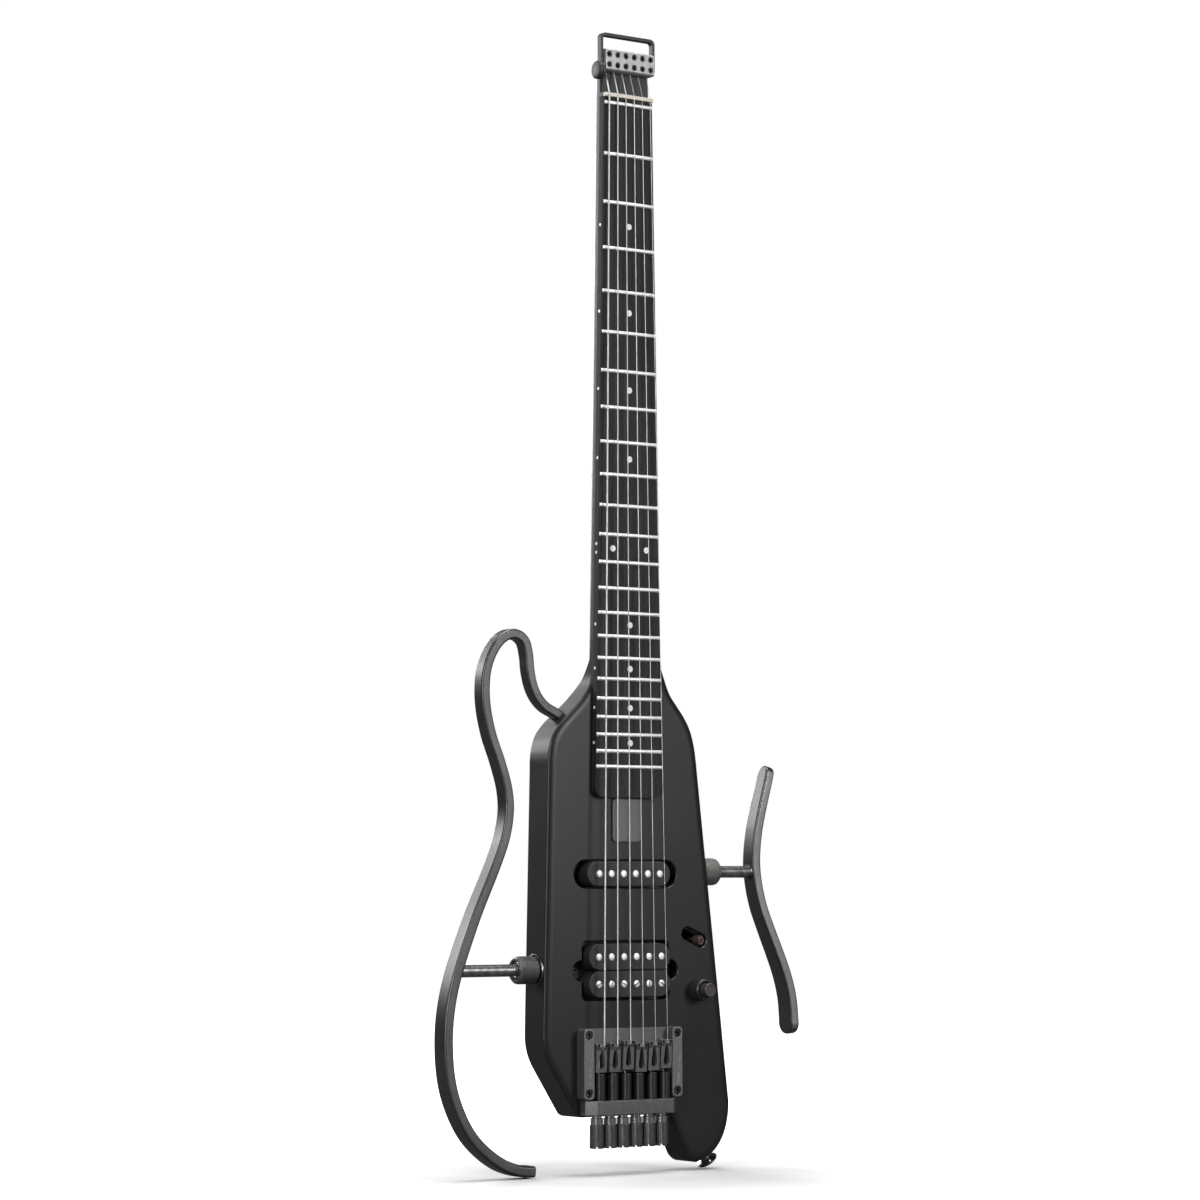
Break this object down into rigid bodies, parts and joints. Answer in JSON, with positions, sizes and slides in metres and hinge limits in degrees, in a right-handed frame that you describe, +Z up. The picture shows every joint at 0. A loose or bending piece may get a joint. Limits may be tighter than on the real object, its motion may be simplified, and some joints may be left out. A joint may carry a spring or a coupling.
{
  "type": "headless travel guitar",
  "caption": "Headless solid-body travel guitar with a hanging loop, tuners behind the bridge, and two plug-in bar frames that form its waist and leg rest.",
  "frame": {"origin": "middle of the underside of the hanging loop's top bar, where a hook carries the guitar", "axes": "+Z up along the strings to the head, +X to the treble side (right as seen from the front), +Y from the front to the back"},
  "size_m": [0.3013, 0.0422, 0.7968],
  "materials": {
    "painted_wood": "satin black lacquer",
    "board_wood": "dark close-grained wood with bright frets and white dots",
    "nut_bone": "cream, satin",
    "string_steel": "bright drawn and wound wire",
    "frame_metal": "gunmetal anodised, satin",
    "bridge_metal": "dark grey anodised, matt",
    "clamp_metal": "mid grey anodised, satin",
    "dark_metal": "black plated",
    "coil_plastic": "black with bright pole pieces",
    "plaque_metal": "matt grey",
    "knob_plastic": "dark brownish black",
    "cover_plastic": "satin black"
  },
  "bodies": {
    "guitar": {"body": "painted_wood", "neck": "painted_wood", "fretboard": "board_wood", "nut": "nut_bone", "string_6": "string_steel", "string_5": "string_steel", "string_4": "string_steel", "string_3": "string_steel", "string_2": "string_steel", "string_1": "string_steel", "hanging_loop": "frame_metal", "head_strap_button": "frame_metal", "lower_strap_button": "frame_metal", "bridge_base": "bridge_metal", "tuner_bar": "bridge_metal", "saddle_6": "bridge_metal", "saddle_5": "bridge_metal", "saddle_4": "bridge_metal", "saddle_3": "bridge_metal", "saddle_2": "bridge_metal", "saddle_1": "bridge_metal", "string_clamp": "clamp_metal", "truss_rod": "dark_metal", "humbucker_plate": "dark_metal", "potentiometer": "dark_metal", "selector_switch": "dark_metal", "output_jack": "dark_metal", "waist_bushing": "dark_metal", "leg_rest_bushing": "dark_metal", "single_coil": "coil_plastic", "humbucker_upper_coil": "coil_plastic", "humbucker_lower_coil": "coil_plastic", "plaque": "plaque_metal", "back_cover": "cover_plastic"},
    "carriage_6": {"carriage_6": "dark_metal"},
    "tuner_6": {"tuner_6": "dark_metal"},
    "carriage_5": {"carriage_5": "dark_metal"},
    "tuner_5": {"tuner_5": "dark_metal"},
    "carriage_4": {"carriage_4": "dark_metal"},
    "tuner_4": {"tuner_4": "dark_metal"},
    "carriage_3": {"carriage_3": "dark_metal"},
    "tuner_3": {"tuner_3": "dark_metal"},
    "carriage_2": {"carriage_2": "dark_metal"},
    "tuner_2": {"tuner_2": "dark_metal"},
    "carriage_1": {"carriage_1": "dark_metal"},
    "tuner_1": {"tuner_1": "dark_metal"},
    "selector_lever": {"selector_lever": "knob_plastic"},
    "outer_knob": {"outer_knob": "knob_plastic"},
    "inner_knob": {"inner_knob": "knob_plastic"},
    "waist_assembly": {"waist_frame": "frame_metal", "waist_rod": "frame_metal"},
    "waist_collar": {"waist_collar": "dark_metal"},
    "leg_rest_assembly": {"leg_rest": "frame_metal", "leg_rest_rod": "frame_metal"},
    "leg_rest_collar": {"leg_rest_collar": "dark_metal"}
  },
  "joints": [
    {"name": "tuner_6_turn", "type": "hinge", "parent": "guitar", "child": "tuner_6", "pos_m": [-0.02725, -0.0005, -0.7622], "axis": [0, 0, 1], "range_deg": [0, 1800]},
    {"name": "carriage_6_slide", "type": "slide", "parent": "guitar", "child": "carriage_6", "axis": [0, 0, -1], "range_m": [0, 0.0035]},
    {"name": "tuner_5_turn", "type": "hinge", "parent": "guitar", "child": "tuner_5", "pos_m": [-0.01635, -0.0005, -0.7622], "axis": [0, 0, 1], "range_deg": [0, 1800]},
    {"name": "carriage_5_slide", "type": "slide", "parent": "guitar", "child": "carriage_5", "axis": [0, 0, -1], "range_m": [0, 0.0035]},
    {"name": "tuner_4_turn", "type": "hinge", "parent": "guitar", "child": "tuner_4", "pos_m": [-0.00545, -0.0005, -0.7622], "axis": [0, 0, 1], "range_deg": [0, 1800]},
    {"name": "carriage_4_slide", "type": "slide", "parent": "guitar", "child": "carriage_4", "axis": [0, 0, -1], "range_m": [0, 0.0035]},
    {"name": "tuner_3_turn", "type": "hinge", "parent": "guitar", "child": "tuner_3", "pos_m": [0.00545, -0.0005, -0.7622], "axis": [0, 0, 1], "range_deg": [0, 1800]},
    {"name": "carriage_3_slide", "type": "slide", "parent": "guitar", "child": "carriage_3", "axis": [0, 0, -1], "range_m": [0, 0.0035]},
    {"name": "tuner_2_turn", "type": "hinge", "parent": "guitar", "child": "tuner_2", "pos_m": [0.01635, -0.0005, -0.7622], "axis": [0, 0, 1], "range_deg": [0, 1800]},
    {"name": "carriage_2_slide", "type": "slide", "parent": "guitar", "child": "carriage_2", "axis": [0, 0, -1], "range_m": [0, 0.0035]},
    {"name": "tuner_1_turn", "type": "hinge", "parent": "guitar", "child": "tuner_1", "pos_m": [0.02725, -0.0005, -0.7622], "axis": [0, 0, 1], "range_deg": [0, 1800]},
    {"name": "carriage_1_slide", "type": "slide", "parent": "guitar", "child": "carriage_1", "axis": [0, 0, -1], "range_m": [0, 0.0035]},
    {"name": "selector_swing", "type": "hinge", "parent": "guitar", "child": "selector_lever", "pos_m": [0.059, 0.02, -0.6318], "axis": [-0.3859, 0, -0.9225], "range_deg": [0, 40]},
    {"name": "outer_knob_turn", "type": "hinge", "parent": "guitar", "child": "outer_knob", "pos_m": [0.0614, -0.0041, -0.6684], "axis": [0, -1, 0], "range_deg": [-140, 140]},
    {"name": "inner_knob_turn", "type": "hinge", "parent": "guitar", "child": "inner_knob", "pos_m": [0.0614, -0.0041, -0.6684], "axis": [0, -1, 0], "range_deg": [-140, 140]},
    {"name": "waist_draw", "type": "slide", "parent": "guitar", "child": "waist_assembly", "axis": [-1, 0, 0], "range_m": [0, 0.045]},
    {"name": "waist_collar_turn", "type": "hinge", "parent": "guitar", "child": "waist_collar", "pos_m": [-0.077, 0.0162, -0.6532], "axis": [-1, 0, 0], "range_deg": [-270, 270]},
    {"name": "leg_rest_draw", "type": "slide", "parent": "guitar", "child": "leg_rest_assembly", "axis": [1, 0, 0], "range_m": [0, 0.045]},
    {"name": "leg_rest_collar_turn", "type": "hinge", "parent": "guitar", "child": "leg_rest_collar", "pos_m": [0.077, 0.0162, -0.5859], "axis": [1, 0, 0], "range_deg": [-270, 270]}
  ],
  "couplings": [
    {"joint": "tuner_6_turn", "follows": "carriage_6_slide", "rad_per_m": 8975.9},
    {"joint": "tuner_5_turn", "follows": "carriage_5_slide", "rad_per_m": 8975.9},
    {"joint": "tuner_4_turn", "follows": "carriage_4_slide", "rad_per_m": 8975.9},
    {"joint": "tuner_3_turn", "follows": "carriage_3_slide", "rad_per_m": 8975.9},
    {"joint": "tuner_2_turn", "follows": "carriage_2_slide", "rad_per_m": 8975.9},
    {"joint": "tuner_1_turn", "follows": "carriage_1_slide", "rad_per_m": 8975.9}
  ]
}
